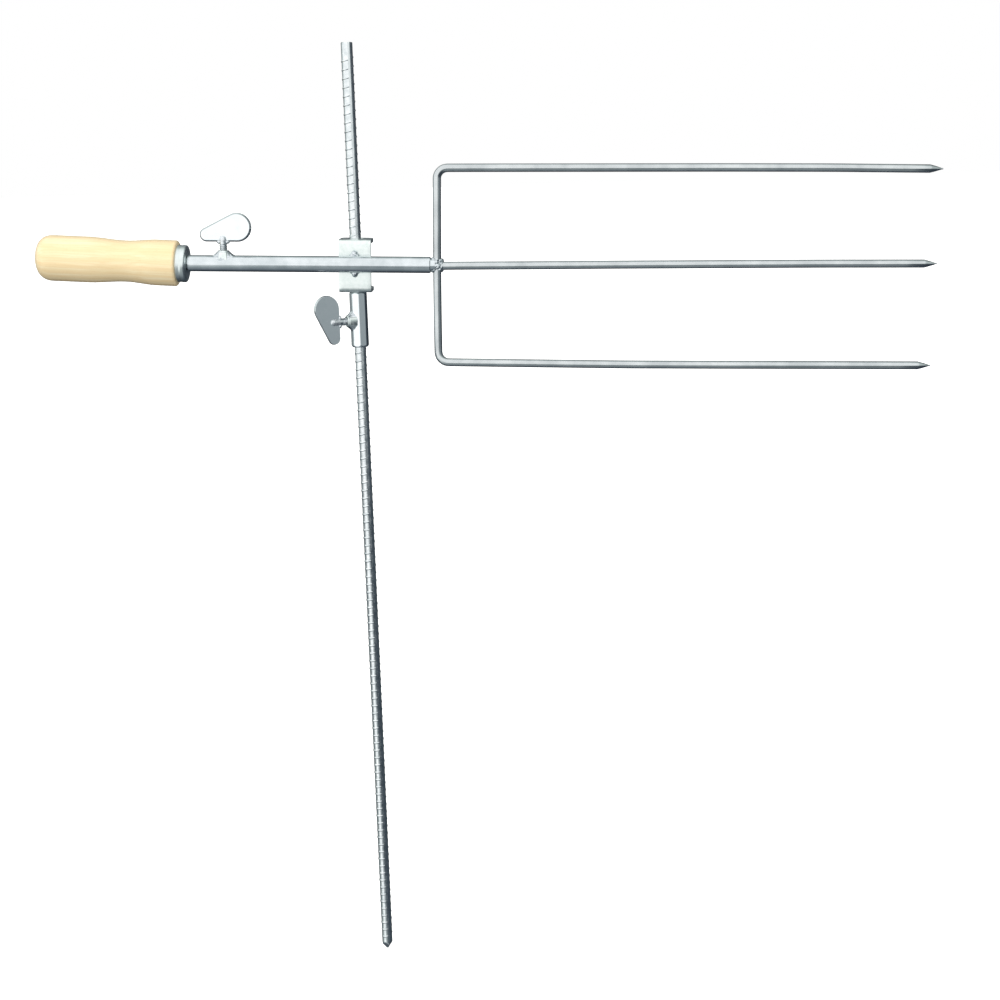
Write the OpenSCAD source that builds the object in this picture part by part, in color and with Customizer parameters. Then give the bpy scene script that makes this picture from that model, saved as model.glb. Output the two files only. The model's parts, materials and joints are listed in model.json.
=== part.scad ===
// Spit roaster for an open fire: a ribbed stake, a height collar, a swivelling
// bracket with a bearing tube, and a three-pronged fork that turns in the tube.
// +Z runs up the stake, the origin is at the stake's point, the prongs run to +X.

/* [Stake] */
// Length of the stake, point to top
stake_len = 762; // [640:1:920]
// Diameter of the bar between its ribs
stake_core_d = 9; // [7:0.1:12]
// Height of each rib above the bar
rib_h = 0.5; // [0.2:0.05:0.8]
// Distance from one rib to the next
rib_pitch = 6.63; // [5:0.01:10]
// Width of a rib at its foot
rib_foot_w = 2.6; // [1.6:0.1:4]
// Width of a rib along its crest
rib_crest_w = 1; // [0.4:0.1:1.5]
// Length of the ground point
stake_point = 7; // [5:0.5:40]

/* [Height collar] */
// Height of the collar's lower end above the stake's point
collar_z = 527.4; // [60:0.1:570]
// Length of the collar
collar_len = 44; // [32:0.5:60]
// Wall of the eight-sided collar at its flats
collar_wall = 1.2; // [1.1:0.05:3]
// Chamfer on the collar's ends
collar_chamfer = 1; // [0.2:0.1:1.2]
// Clearance between the collar's bore and the ribs, on the radius
collar_gap = 0.4; // [0.3:0.05:0.8]
// Turn of the collar about the stake, 0 points its screw to -X
collar_turn = 30; // [0:1:359]
// Height of the collar's screw above the collar's lower end
collar_screw_h = 21; // [15:0.5:24]

/* [Bracket] */
// Width of the bent flat bar
bracket_w = 25.4; // [20:0.1:40]
// Height of the bracket
bracket_h = 41.3; // [34:0.1:60]
// Thickness of the flat bar
bracket_t = 3.2; // [2:0.1:4]
// Outside radius of the two bends
bracket_bend_r = 4.2; // [4.1:0.1:7]
// Distance from the stake's axis to the front face of the plate
bracket_reach = 13.65; // [12:0.05:25]
// Distance from the stake's axis to the free ends of the flanges
flange_reach = 12.7; // [10:0.1:25]
// Lean of the bracket in its loose holes, the prongs sink by this angle
bracket_lean = 1.8; // [0:0.1:2.5]
// Least clearance between the leaning bracket and the ribs
bracket_gap = 0.3; // [0.2:0.05:1]
// Clearance between the bracket and the collar that it rests on
rest_gap = 0.1; // [0.05:0.05:0.5]

/* [Bearing tube] */
// Outside diameter of the tube
tube_d = 12.7; // [11.5:0.1:20]
// Wall of the tube
tube_wall = 1.5; // [1:0.1:2]
// Reach of the tube from the stake's axis towards the handle
tube_left = 129.5; // [120:0.5:200]
// Reach of the tube from the stake's axis towards the prongs
tube_right = 59.8; // [30:0.1:120]
// Height of the tube's axis above the middle of the bracket
tube_rise = 2; // [0:0.1:4]
// Clearance between the shaft and the tube, on the radius
shaft_gap = 0.08; // [0.02:0.01:0.1]
// Distance from the tube's handle end to its screw
tube_screw_inset = 28; // [25:0.5:60]

/* [Thumb screws] */
// Diameter of the threaded shank
screw_d = 6.35; // [5:0.05:8]
// Length of the shank from its tip to the wing
screw_len = 11.6; // [11.4:0.1:20]
// Length of the shank's slotted end that grips the wing
screw_slot = 7; // [4:0.5:9]
// Clearance between the thread and the nut, on the radius
thread_gap = 0.05; // [0.02:0.01:0.1]
// Clearance between the thread and the hole in the wall under the nut
hole_gap = 0.3; // [0.2:0.05:0.5]
// Clearance between a screw's tip and what it clamps
tip_gap = 0.3; // [0.2:0.05:0.5]
// Width across the flats of the welded nuts
nut_af = 11.1; // [10.5:0.1:14]
// Height of the welded nuts
nut_h = 4.4; // [3:0.1:6]
// Leg of the weld around a nut
nut_weld_leg = 2.6; // [1:0.1:3.5]
// Thickness of the stamped wing
wing_t = 2.4; // [1.5:0.1:3]
// Radius of the wing's large lobe
wing_large_r = 11.2; // [8:0.1:14]
// Radius of the wing's small lobe
wing_small_r = 5.4; // [4:0.1:7]
// Distance from the shank's axis to the middle of the large lobe
wing_large_x = 11; // [8:0.5:12]
// Distance from the shank's axis to the middle of the small lobe
wing_small_x = 13; // [8:0.5:15]

/* [Fork] */
// Diameter of the crossbar and the prongs
prong_d = 6.35; // [5:0.05:8]
// Distance from one prong's axis to the next
prong_pitch = 75.5; // [50:0.5:100]
// Length of the prongs from the crossbar's axis to their points
prong_len = 386.5; // [250:0.5:480]
// Radius of the bar's axis round the two corners
fork_bend_r = 8; // [6:0.5:20]
// Length of the conical points
prong_point = 10; // [6:0.5:20]
// Gap between the end of the tube and the crossbar
crossbar_gap = 2; // [1.6:0.1:6]
// Radius of the weld at the crossing
fork_weld_r = 5.8; // [5.2:0.1:9]

/* [Handle] */
// Length of the wooden handle
handle_len = 112; // [80:0.5:140]
// Diameter of the grip
handle_d = 36.2; // [32.5:0.1:44]
// Diameter of the waist in front of the grip
waist_d = 32.6; // [31:0.1:42]
// Length of the rounded butt
butt_len = 14; // [6:0.5:25]
// Outside diameter of the ferrule
ferrule_d = 30.2; // [24:0.1:30.4]
// Length of the ferrule
ferrule_len = 7.4; // [6:0.1:12]
// Wall of the ferrule
ferrule_wall = 1.2; // [0.8:0.1:1.6]
// Depth of the shaft in the wood
tang_len = 78; // [40:0.5:78]
// Diameter of the hidden pin that keys the wood to the shaft
key_pin_d = 2.5; // [2:0.1:3]
// Gap between the ferrule and the end of the tube
ferrule_gap = 0.5; // [0.3:0.1:2]

/* [Hidden] */
$fn = 96;

plated = "#c4cacc";
dark_steel = "#8f9698";
weld_grey = "#9aa0a3";
beech = "#efd9ac";

over = 1; // how far a cut runs past the face it opens
profile_steps = 24; // steps in each curve of the handle's outline
hex_corner = 1 / cos(30); // corner radius of a hexagon over half its flats
oct_corner = 1 / cos(22.5); // the same for the eight-sided collar

stake_r = stake_core_d / 2;
rib_r = stake_r + rib_h;
rib_count = floor((stake_len - stake_point - rib_pitch) / rib_pitch);
rib_first = stake_point + rib_pitch;

collar_bore_r = rib_r + collar_gap;
collar_flat_r = collar_bore_r + collar_wall;
collar_corner_r = collar_flat_r * oct_corner;
collar_end_r = collar_corner_r - collar_chamfer;
collar_tip_at = rib_r + tip_gap;
collar_nut_face = collar_flat_r + nut_h;

half_h = bracket_h / 2;
bracket_hole_r = rib_r + half_h * tan(bracket_lean) + bracket_gap;
bracket_mid_z = collar_z + collar_len + rest_gap
    + half_h / cos(bracket_lean) + collar_end_r * tan(bracket_lean);

tube_r = tube_d / 2;
tube_bore_r = tube_r - tube_wall;
tube_y = -(bracket_reach + tube_r);
shaft_r = tube_bore_r - shaft_gap;
tube_tip_at = shaft_r + tip_gap;
tube_screw_x = tube_left - tube_screw_inset; // from the stake's axis
tube_nut_foot = tube_r - 2; // the nut is hollowed to sit on the tube
tube_weld_h = 2.2; // how far the weld of the nut stands above the tube
tube_nut_face = tube_nut_foot + nut_h + 1.4;
tack_foot_r = 5; // half width of a tack where it starts, behind the tube
tack_top_r = 1.4;
tack_h = 4.2; // how far a tack stands above the tube

screw_r = screw_d / 2;
screw_chamfer = 0.8;
nut_corner_r = nut_af / 2 * hex_corner;
nut_chamfer = 0.6;
nut_weld_edge = 0.3; // thickness of the weld's outer edge on a flat
nut_weld_top = 1.4; // how far the weld stops short of the nut's face
nut_weld_rim = 0.4; // how far it still stands out from the nut's corners there

prong_r = prong_d / 2;
crossbar_x = tube_right + crossbar_gap + prong_r;
fork_half = prong_pitch - fork_bend_r;
fork_weld_back = crossbar_gap - 1; // how far the weld reaches behind the bar
fork_weld_end = prong_r + 2; // and where it ends in front of the bar's axis
bevel_r = 0.75 * prong_r; // root of the centre prong inside the weld
cope = 0.8; // how far coped ends reach round the crossbar
tip_flat = 0.3; // half width of the blunt end of a prong

ferrule_front = -(tube_left + ferrule_gap);
wood_front = ferrule_front - ferrule_len;
butt_x = wood_front - handle_len;
neck_r = ferrule_d / 2 - ferrule_wall;
neck_len = ferrule_len - ferrule_wall;
grip_r = handle_d / 2;
waist_r = waist_d / 2;
grip_end = 0.36 * handle_len; // where the grip starts to narrow
waist_at = 0.636 * handle_len; // the narrowest place
swell_at = 0.86 * handle_len; // where the front swell is full again
shoulder_r = 1.8; // rounding of the wood's front edge
butt_power = 2.6; // 2 would be an ellipse, more is squarer

// ---- small helpers ----

function ease(t) = (1 - cos(180 * t)) / 2;

// Frame of the collar, turned about the stake
module at_collar() translate([0, 0, collar_z]) rotate([0, 0, collar_turn]) children();

// Frame of the bracket, its middle on the stake's axis, leaning with the bracket
module at_bracket() translate([0, 0, bracket_mid_z]) rotate([0, bracket_lean, 0]) children();

// Frame of the tube and the fork, on their axis
module at_tube() at_bracket() translate([0, tube_y, tube_rise]) children();

// A screw's own frame has its shank along +Z and its wing in the XZ plane
module at_collar_screw()
    at_collar() translate([0, 0, collar_screw_h]) rotate([0, -90, 0]) children();

module at_tube_screw() at_tube() translate([-tube_screw_x, 0, 0]) children();

// Bar along X from x0 to x1
module bar_x(r, x0, x1) translate([x0, 0, 0]) rotate([0, 90, 0]) cylinder(r = r, h = x1 - x0);

module collar_outline(extra = 0)
    rotate([0, 0, 22.5]) cylinder(r = collar_corner_r + extra, h = collar_len, $fn = 8);

// ---- stake ----

function rib_points(z) = [
    [stake_r, z - rib_foot_w / 2], [rib_r, z - rib_crest_w / 2],
    [rib_r, z + rib_crest_w / 2], [stake_r, z + rib_foot_w / 2]];

module stake()
    color(dark_steel) rotate_extrude() polygon(concat(
        [[0, 0], [0.6, 0], [stake_r, stake_point]],
        [for (i = [0 : rib_count - 1]) each rib_points(rib_first + i * rib_pitch)],
        [[stake_r, stake_len], [0, stake_len]]));

// ---- height collar ----

module collar_sleeve()
    color(plated) at_collar() difference() {
        intersection() {
            collar_outline();
            collar_ends();
        }
        translate([0, 0, -over]) cylinder(r = collar_bore_r, h = collar_len + 2 * over);
        translate([0, 0, collar_screw_h]) rotate([0, -90, 0])
            cylinder(r = screw_r + hole_gap, h = 2 * collar_flat_r);
    }

// Round body whose chamfered ends trim the corners of the flats
module collar_ends() rotate_extrude() polygon([
    [0, 0], [collar_end_r, 0], [collar_corner_r + 0.1, 2 * collar_chamfer],
    [collar_corner_r + 0.1, collar_len - 2 * collar_chamfer],
    [collar_end_r, collar_len], [0, collar_len]]);

module collar_nut()
    color(plated) difference() {
        at_collar_screw() welded_nut(collar_bore_r, collar_nut_face);
        at_collar() collar_outline();
    }

module collar_nut_weld()
    color(weld_grey) difference() {
        at_collar_screw()
            nut_weld(collar_bore_r, collar_flat_r + nut_weld_edge, collar_nut_face);
        at_collar() collar_outline();
    }

// ---- thumb screws and their nuts ----

// Hexagon nut with a chamfered outer face, from height z0 to z1
module welded_nut(z0, z1)
    difference() {
        intersection() {
            translate([0, 0, z0]) cylinder(r = nut_corner_r, h = z1 - z0, $fn = 6);
            rotate_extrude() polygon([
                [0, z0], [nut_corner_r + 0.1, z0], [nut_corner_r + 0.1, z1 - nut_chamfer],
                [nut_af / 2 - 0.2, z1], [0, z1]]);
        }
        translate([0, 0, z0 - over])
            cylinder(r = screw_r + thread_gap, h = z1 - z0 + 2 * over);
    }

// Fillet of weld round a nut: z0 is its foot, z1 is the nut's outer face, and the
// fillet starts to narrow at the height of seat
module nut_weld(z0, seat, z1)
    difference() {
        rotate_extrude() polygon([
            [0, z0], [nut_corner_r + nut_weld_leg, z0], [nut_corner_r + nut_weld_leg, seat],
            [nut_corner_r + nut_weld_rim, z1 - nut_weld_top], [0, z1 - nut_weld_top]]);
        translate([0, 0, z0 - over])
            cylinder(r = nut_corner_r, h = z1 - z0 + 2 * over, $fn = 6);
    }

// Shank with its tip at height z0
module screw_shank(z0)
    difference() {
        rotate_extrude() polygon([
            [0, z0], [screw_r - screw_chamfer, z0], [screw_r, z0 + screw_chamfer],
            [screw_r, z0 + screw_len + screw_slot - screw_chamfer],
            [screw_r - screw_chamfer, z0 + screw_len + screw_slot],
            [0, z0 + screw_len + screw_slot]]);
        wing_plate(z0 + screw_len);
    }

// Two lobes on one straight edge at height z0, joined by their outer tangent
module wing_plate(z0) {
    span = wing_large_x + wing_small_x;
    rise = wing_large_r - wing_small_r;
    slope = 2 * atan(rise / span);
    tangent = [-sin(slope), cos(slope)];
    large = [wing_large_x, wing_large_r];
    small = [-wing_small_x, wing_small_r];
    translate([0, wing_t / 2, z0]) rotate([90, 0, 0]) linear_extrude(height = wing_t)
        union() {
            translate(large) circle(r = wing_large_r);
            translate(small) circle(r = wing_small_r);
            polygon([
                [-wing_small_x, 0], [wing_large_x, 0],
                large + wing_large_r * tangent, small + wing_small_r * tangent]);
        }
}

module collar_screw() color(plated) at_collar_screw() screw_shank(collar_tip_at);

module collar_screw_wing()
    color(plated) at_collar_screw() wing_plate(collar_tip_at + screw_len);

module tube_screw() color(plated) at_tube_screw() screw_shank(tube_tip_at);

module tube_screw_wing() color(plated) at_tube_screw() wing_plate(tube_tip_at + screw_len);

// ---- bracket and bearing tube ----

// Flat bar with both ends bent back, as an outline in the YZ plane
module bracket_outline() {
    inner_r = bracket_bend_r - bracket_t;
    depth = bracket_reach + flange_reach;
    difference() {
        rounded_left(depth, bracket_h, bracket_bend_r);
        translate([bracket_t, bracket_t])
            rounded_left(depth, bracket_h - 2 * bracket_t, inner_r);
    }
}

// Rectangle whose two corners on the left are round
module rounded_left(w, h, r)
    union() {
        translate([r, 0]) square([w - r, h]);
        translate([0, r]) square([r, h - 2 * r]);
        translate([r, r]) circle(r = r);
        translate([r, h - r]) circle(r = r);
    }

module bracket()
    color(plated) at_bracket() difference() {
        translate([-bracket_w / 2, -bracket_reach, -half_h])
            rotate([90, 0, 90]) linear_extrude(height = bracket_w) bracket_outline();
        translate([0, 0, -half_h - over])
            cylinder(r = bracket_hole_r, h = bracket_h + 2 * over);
    }

module bearing_tube()
    color(plated) at_tube() difference() {
        bar_x(tube_r, -tube_left, tube_right);
        bar_x(tube_bore_r, -tube_left - over, tube_right + over);
        translate([-tube_screw_x, 0, 0]) cylinder(r = screw_r + hole_gap, h = tube_d);
    }

// Tack of weld between the tube and the plate, side is 1 above and -1 below
module tube_tack(side)
    at_tube() difference() {
        translate([0, tube_r, 0]) rotate([side > 0 ? 0 : 180, 0, 0])
            cylinder(r1 = tack_foot_r, r2 = tack_top_r, h = tube_r + tack_h);
        bar_x(tube_r, -tube_d, tube_d);
        translate([-tube_d, tube_r, -tube_d * 2]) cube([2 * tube_d, tube_d, 4 * tube_d]);
    }

module tube_tack_upper() color(weld_grey) tube_tack(1);

module tube_tack_lower() color(weld_grey) tube_tack(-1);

module tube_nut()
    color(plated) at_tube_screw() difference() {
        welded_nut(tube_nut_foot, tube_nut_face);
        bar_x(tube_r, -nut_af, nut_af);
    }

module tube_nut_weld()
    color(weld_grey) at_tube_screw() difference() {
        intersection() {
            nut_weld(tube_bore_r, tube_r - 0.4, tube_nut_face);
            bar_x(tube_r + tube_weld_h, -nut_af * 2, nut_af * 2);
        }
        bar_x(tube_r, -nut_af * 2, nut_af * 2);
    }

// ---- fork ----

module spit_shaft()
    color(plated) at_tube() difference() {
        bar_x(shaft_r, wood_front - tang_len, crossbar_x - cope);
        translate([crossbar_x, 0, -tube_d]) cylinder(r = prong_r, h = 2 * tube_d);
        key_pin_hole();
    }

// One bent rod: the crossbar, two corners and the two outer prongs
module fork_bar()
    color(plated) at_tube() translate([crossbar_x, 0, 0]) {
        translate([0, 0, -fork_half]) cylinder(r = prong_r, h = 2 * fork_half);
        fork_corner();
        mirror([0, 0, 1]) fork_corner();
    }

// Upper corner and its prong
module fork_corner()
    translate([fork_bend_r, 0, fork_half]) {
        rotate([90, 0, 0]) rotate([0, 0, 90]) rotate_extrude(angle = 90)
            translate([fork_bend_r, 0]) circle(r = prong_r);
        translate([0, 0, fork_bend_r]) pointed_bar(0, prong_len - fork_bend_r);
    }

// Bar along X with a conical point at x1
module pointed_bar(x0, x1)
    rotate([0, 90, 0]) rotate_extrude() polygon([
        [0, x0], [prong_r, x0], [prong_r, x1 - prong_point], [tip_flat, x1], [0, x1]]);

// Centre prong before it is coped to the crossbar, bevelled as far as the weld reaches
module centre_rod()
    rotate([0, 90, 0]) rotate_extrude() polygon([
        [0, cope], [bevel_r, cope], [prong_r, fork_weld_end],
        [prong_r, prong_len - prong_point], [tip_flat, prong_len], [0, prong_len]]);

module centre_prong()
    color(plated) at_tube() translate([crossbar_x, 0, 0]) difference() {
        centre_rod();
        translate([0, 0, -tube_d]) cylinder(r = prong_r, h = 2 * tube_d);
    }

module fork_weld()
    color(weld_grey) at_tube() translate([crossbar_x, 0, 0]) difference() {
        rotate([0, 90, 0]) rotate_extrude() polygon([
            [0, -prong_r - fork_weld_back], [shaft_r, -prong_r - fork_weld_back],
            [fork_weld_r, -prong_r / 2], [fork_weld_r, prong_r / 2],
            [prong_r, fork_weld_end], [0, fork_weld_end]]);
        translate([0, 0, -tube_d]) cylinder(r = prong_r, h = 2 * tube_d);
        bar_x(shaft_r, -tube_d, -cope);
        centre_rod();
    }

// ---- handle ----

module ferrule()
    color(plated) at_tube() rotate([0, 90, 0]) rotate_extrude() polygon([
        [shaft_r, ferrule_front], [ferrule_d / 2 - 2, ferrule_front],
        [ferrule_d / 2 - 0.6, ferrule_front - 0.8], [ferrule_d / 2, ferrule_front - 2.2],
        [ferrule_d / 2, wood_front], [neck_r, wood_front],
        [neck_r, wood_front + neck_len], [shaft_r, wood_front + neck_len]]);

// Radius of the wood at distance s from its butt
function wood_r(s) =
    s < butt_len ? grip_r * pow(1 - pow(1 - s / butt_len, butt_power), 1 / butt_power)
    : s < grip_end ? grip_r
    : s < waist_at ? grip_r + (waist_r - grip_r) * ease((s - grip_end) / (waist_at - grip_end))
    : s < swell_at ? waist_r + (grip_r - waist_r) * ease((s - waist_at) / (swell_at - waist_at))
    : grip_r;

// Stretch of the outline from s0 to s1, its first point left to the last stretch
function wood_points(s0, s1) = [for (i = [1 : profile_steps])
    let (s = s0 + (s1 - s0) * i / profile_steps) [wood_r(s), butt_x + s]];

module handle()
    color(beech) at_tube() difference() {
        rotate([0, 90, 0]) rotate_extrude() polygon(concat(
            [[0, wood_front + neck_len], [0, butt_x]],
            [for (i = [1 : profile_steps])
                let (s = butt_len * (1 - cos(90 * i / profile_steps))) [wood_r(s), butt_x + s]],
            [[grip_r, butt_x + grip_end]],
            wood_points(grip_end, waist_at), wood_points(waist_at, swell_at),
            [for (a = [0 : 15 : 90]) [grip_r - shoulder_r * (1 - cos(a)),
                wood_front - shoulder_r * (1 - sin(a))]],
            [[neck_r, wood_front], [neck_r, wood_front + neck_len]]));
        bar_x(shaft_r, wood_front - tang_len, wood_front + ferrule_len);
        key_pin_hole();
    }

// Place of the hidden pin, across the neck and the shaft under the ferrule
module key_pin_hole()
    translate([wood_front + neck_len / 2, 0, -neck_r]) cylinder(d = key_pin_d, h = 2 * neck_r);

module handle_key_pin()
    color(dark_steel) at_tube() intersection() {
        key_pin_hole();
        bar_x(neck_r, wood_front, wood_front + neck_len);
    }

stake();
collar_sleeve();
collar_nut();
collar_nut_weld();
collar_screw();
collar_screw_wing();
bracket();
bearing_tube();
tube_tack_upper();
tube_tack_lower();
tube_nut();
tube_nut_weld();
tube_screw();
tube_screw_wing();
spit_shaft();
fork_bar();
centre_prong();
fork_weld();
ferrule();
handle();
handle_key_pin();
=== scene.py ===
import json
from math import atan, atan2, cos, degrees, exp, pi, radians, sin, sqrt, tan

import bmesh
import bpy
from mathutils import Matrix, Vector, noise


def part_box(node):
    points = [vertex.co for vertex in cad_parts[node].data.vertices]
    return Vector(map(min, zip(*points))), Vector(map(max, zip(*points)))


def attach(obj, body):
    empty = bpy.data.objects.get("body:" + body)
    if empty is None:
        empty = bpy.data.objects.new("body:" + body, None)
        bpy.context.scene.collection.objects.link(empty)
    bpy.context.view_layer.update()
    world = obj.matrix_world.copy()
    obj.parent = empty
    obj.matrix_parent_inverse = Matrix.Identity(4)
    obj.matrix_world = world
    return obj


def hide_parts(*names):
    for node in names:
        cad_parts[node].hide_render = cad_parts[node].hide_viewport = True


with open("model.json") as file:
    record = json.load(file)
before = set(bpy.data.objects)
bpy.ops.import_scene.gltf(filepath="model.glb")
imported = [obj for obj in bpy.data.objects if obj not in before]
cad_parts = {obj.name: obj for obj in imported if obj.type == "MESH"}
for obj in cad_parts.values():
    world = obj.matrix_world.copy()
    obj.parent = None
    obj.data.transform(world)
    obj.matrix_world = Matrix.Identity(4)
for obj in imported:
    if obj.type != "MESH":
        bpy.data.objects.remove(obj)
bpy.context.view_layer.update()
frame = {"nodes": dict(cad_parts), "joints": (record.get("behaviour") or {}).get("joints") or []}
joints = {joint["name"]: joint for joint in frame["joints"]}
mm = 0.001  # every size below is in millimetres


# ---- camera, made first ----

shot = {"place": (0.1429, -1.2724, 0.6923), "down": 12.97, "aside": -1.55, "roll": -1.52, "lens": 57.6}

down, aside, roll = (radians(shot[key]) for key in ("down", "aside", "roll"))
ahead = Vector((sin(aside) * cos(down), cos(aside) * cos(down), -sin(down)))
level = Vector((cos(aside), -sin(aside), 0))
up = level.cross(ahead)
cameraRight = cos(roll) * level + sin(roll) * up
cameraUp = cos(roll) * up - sin(roll) * level


def addObject(name, data):
    made = bpy.data.objects.new(name, data)
    bpy.context.scene.collection.objects.link(made)
    return made


camera = addObject("camera", bpy.data.cameras.new("camera"))
camera.data.lens = shot["lens"]
camera.data.sensor_width = 36
camera.data.clip_end = 60
camera.matrix_world = Matrix((cameraRight, cameraUp, -ahead)).transposed().to_4x4()
camera.location = shot["place"]
bpy.context.scene.camera = camera


# ---- places, all from the frame ----

def placeFrom(origin, xAxis, yAxis, zAxis):
    turn = Matrix((Vector(xAxis), Vector(yAxis), Vector(zAxis))).transposed().to_4x4()
    return Matrix.Translation(Vector(origin)) @ turn @ Matrix.Scale(mm, 4)


spinAxis = Vector(joints["fork_spin"]["axis"]).normalized()
tubePlace = placeFrom(joints["fork_spin"]["pos_m"], spinAxis, (0, 1, 0), spinAxis.cross(Vector((0, 1, 0))))
lean = atan2(-spinAxis.z, spinAxis.x)
stakePlace = Matrix.Scale(mm, 4)

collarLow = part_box("collar_sleeve")[0]
collarOut = Vector(joints["collar_screw_turn"]["axis"]).normalized()
collarPlace = placeFrom((0, 0, collarLow.z), -collarOut, Vector((0, 0, 1)).cross(-collarOut), (0, 0, 1))
collarScrewPlace = placeFrom(joints["collar_screw_turn"]["pos_m"], (0, 0, 1),
                             collarOut.cross(Vector((0, 0, 1))), collarOut)
tubeOut = Vector(joints["tube_screw_turn"]["axis"]).normalized()
tubeScrewPlace = placeFrom(joints["tube_screw_turn"]["pos_m"], spinAxis, (0, 1, 0), tubeOut)


# ---- nodes ----

def addNode(tree, kind, inputs=None, **settings):
    node = tree.nodes.new(kind)
    for key, value in settings.items():
        setattr(node, key, value)
    for key, value in (inputs or {}).items():
        if isinstance(value, bpy.types.NodeSocket):
            tree.links.new(value, node.inputs[key])
        else:
            node.inputs[key].default_value = value
    return node


def shade(tree, kind, inputs=None, **settings):
    return addNode(tree, "ShaderNode" + kind, inputs, **settings)


def fromHex(code):
    channels = [int(code[i:i + 2], 16) / 255 for i in (1, 3, 5)]
    return [c / 12.92 if c <= 0.04045 else ((c + 0.055) / 1.055) ** 2.4 for c in channels] + [1]


def newMaterial(name):
    material = bpy.data.materials.new(name)
    material.use_nodes = True
    tree = material.node_tree
    tree.nodes.clear()
    shader = shade(tree, "BsdfPrincipled")
    shade(tree, "OutputMaterial", {"Surface": shader.outputs[0]})
    return material, tree, shader


def blendColours(tree, share, first, second):
    # inputs 6 and 7 and output 2 are the node's colour sockets
    return shade(tree, "Mix", {"Factor": share, 6: first, 7: second}, data_type="RGBA").outputs[2]


def calc(tree, operation, *values):
    return shade(tree, "Math", dict(enumerate(values)), operation=operation).outputs[0]


def remap(tree, value, low, high, toLow=0, toHigh=1, **settings):
    return shade(tree, "MapRange", {
        "Value": value, "From Min": low, "From Max": high, "To Min": toLow, "To Max": toHigh},
        **settings).outputs[0]


def grain(tree, where, scale, detail, rough):
    return shade(tree, "TexNoise", {
        "Vector": where, "Scale": scale, "Detail": detail, "Roughness": rough}).outputs["Fac"]


# ---- materials ----

def platedSteel(name, look):
    material, tree, shader = newMaterial(name)
    where = shade(tree, "TexCoord").outputs["Object"]
    cloud = grain(tree, where, 1 / (look["patch"] * mm), 3, 0.55)
    height = grain(tree, where, 1 / (look["grit"] * mm), 2, 0.6)
    share = remap(tree, cloud, 0.32, 0.68)
    colour = blendColours(tree, share, fromHex(look["dull"]), fromHex(look["bright"]))
    if "drawn" in look:
        # lines left by the drawing die run along the bar: narrow round it, long along it
        ring = shade(tree, "Attribute", attribute_name="ring")
        along = shade(tree, "Attribute", attribute_name="along")
        split = shade(tree, "SeparateXYZ", {0: ring.outputs["Vector"]})
        slow = calc(tree, "MULTIPLY", along.outputs["Fac"], 0.004)
        spot = shade(tree, "CombineXYZ", {0: split.outputs[0], 1: split.outputs[1], 2: slow})
        line = grain(tree, spot.outputs[0], 1 / look["drawn"], 2, 0.5)
        height = calc(tree, "ADD", line, calc(tree, "MULTIPLY", height, 0.3))
        colour = blendColours(tree, remap(tree, line, 0.45, 0.75, 0, 0.35), colour, fromHex(look["dull"]))
    gloss = remap(tree, cloud, 0.3, 0.7, *look["rough"])
    relief = shade(tree, "Bump", {
        "Height": height, "Strength": look["relief"], "Distance": look["depth"] * mm})
    for key, value in (("Base Color", colour), ("Roughness", gloss),
                       ("Normal", relief.outputs[0])):
        tree.links.new(value, shader.inputs[key])
    shader.inputs["Metallic"].default_value = 1
    return material


# bright zinc plate on smooth mild steel: a cool, even, fairly sharp mirror with faint clouds
brightZinc = platedSteel("brightZincPlate", {
    "bright": "#eef3f5", "dull": "#e4eaec", "patch": 7, "grit": 0.35, "rough": (0.1, 0.17),
    "relief": 0.12, "depth": 0.02})

# the same plating on cold-drawn round bar and tube: fine lines run along it
drawnZinc = platedSteel("zincOnDrawnBar", {
    "bright": "#dfe5e8", "dull": "#c5cdd0", "patch": 14, "grit": 0.3, "rough": (0.12, 0.2),
    "relief": 0.16, "depth": 0.02, "drawn": 0.35})

# bright drawn steel rod of the fork, bare and oiled: greyer than the plated parts
brightSteel = platedSteel("brightDrawnSteel", {
    "bright": "#d2d7d8", "dull": "#b9bfc1", "patch": 14, "grit": 0.3, "rough": (0.14, 0.22),
    "relief": 0.16, "depth": 0.02, "drawn": 0.35})

# plated flat bar, hot rolled before plating: a soft, slightly uneven sheen that smears reflections
flatZinc = platedSteel("zincOnFlatBar", {
    "bright": "#f2f8f6", "dull": "#dde7e4", "patch": 3.2, "grit": 0.6, "rough": (0.26, 0.38),
    "relief": 0.3, "depth": 0.05})

# ferrule pressed from dip-coated sheet: satin grey, with no sharp reflections
satinZinc = platedSteel("zincOnPressedSheet", {
    "bright": "#e6eeee", "dull": "#d4dcda", "patch": 5, "grit": 0.5, "rough": (0.28, 0.38),
    "relief": 0.25, "depth": 0.04})

# ribbed bar, hot rolled, thin plating: scale pits show through as a fine dark grain
ribbedZinc = platedSteel("zincOnRibbedBar", {
    "bright": "#eef2f3", "dull": "#d0d7d9", "patch": 4, "grit": 0.5, "rough": (0.14, 0.24),
    "relief": 0.25, "depth": 0.04})

# welds plated over: lumpy, bright on the crests and dull between them
platedWeld = platedSteel("zincOverWeld", {
    "bright": "#e6ecef", "dull": "#aab3b8", "patch": 1.4, "grit": 0.4, "rough": (0.14, 0.3),
    "relief": 0.35, "depth": 0.05})

# weld metal thick with plating, matt: it stays light from every side
dullWeld = platedSteel("mattZincOverWeld", {
    "bright": "#f4f7f9", "dull": "#d9dfe3", "patch": 1.6, "grit": 0.4, "rough": (0.42, 0.55),
    "relief": 0.3, "depth": 0.04})

# cut thread under plating: a little darker, a painted shade for the shade the thread flanks cast on each
# other
cutThread = platedSteel("zincOnCutThread", {
    "bright": "#e6ebee", "dull": "#c9d0d3", "patch": 2, "grit": 0.25, "rough": (0.2, 0.3),
    "relief": 0.2, "depth": 0.03})

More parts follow.
